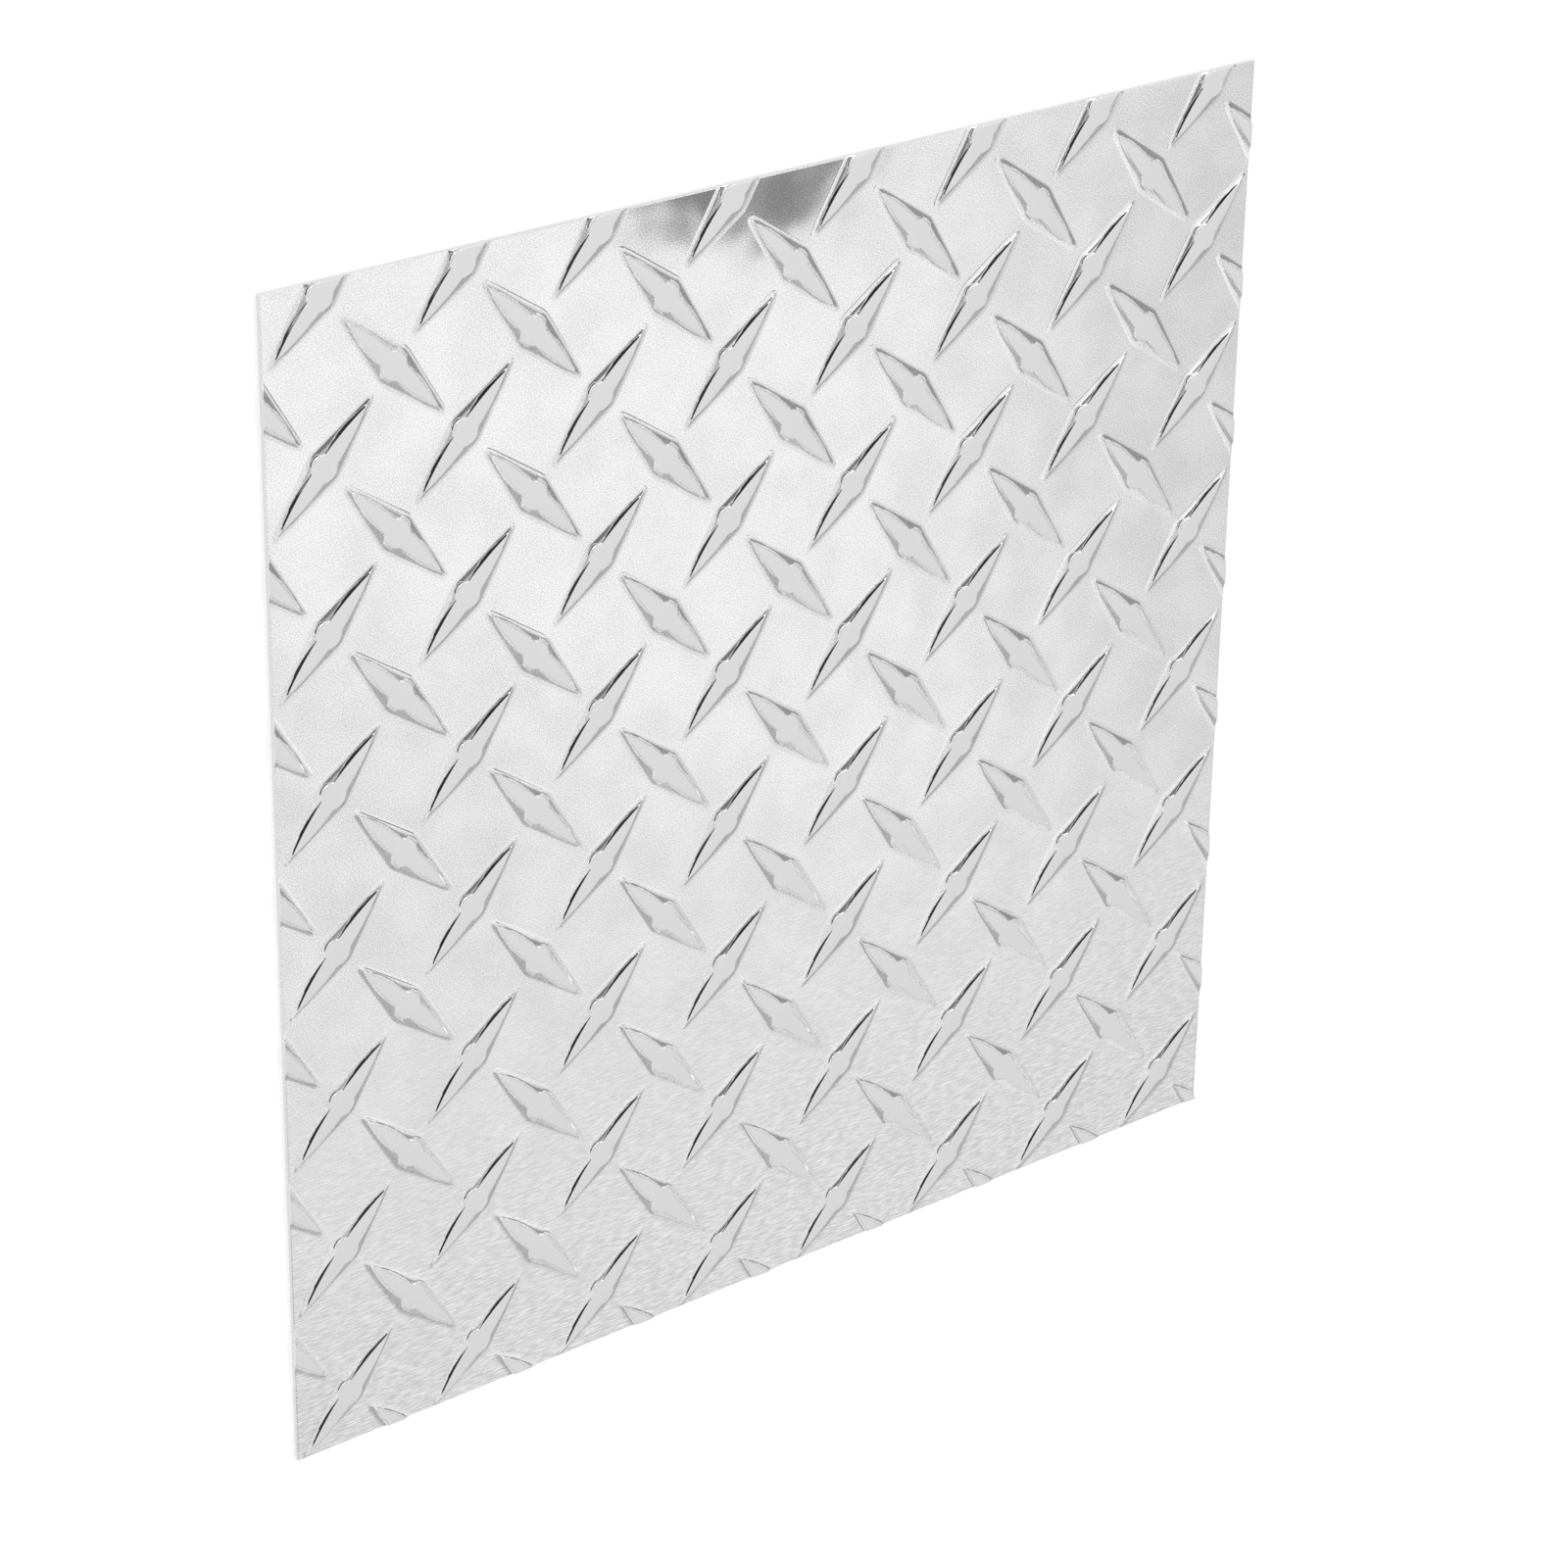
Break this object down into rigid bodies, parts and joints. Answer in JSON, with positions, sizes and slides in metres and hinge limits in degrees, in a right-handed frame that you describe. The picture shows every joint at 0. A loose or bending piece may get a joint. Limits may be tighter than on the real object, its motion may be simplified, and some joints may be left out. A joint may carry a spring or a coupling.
{
  "type": "aluminium checker plate",
  "caption": "Square of thin rolled aluminium sheet with a raised checker tread of crossed, pointed lugs on its front face and a plain flat back.",
  "frame": {"origin": "centre of the plain back face, on the surface that the plate lies on", "axes": "+Z out of the tread face, +X and +Y along the sheared edges, with +X along the rows of lugs"},
  "size_m": [0.3048, 0.3048, 0.0018],
  "materials": {
    "bright_aluminium": "bright rolled mill finish, near mirror, with fine rolling streaks"
  },
  "bodies": {
    "root": {"checker_plate": "bright_aluminium"}
  },
  "joints": []
}
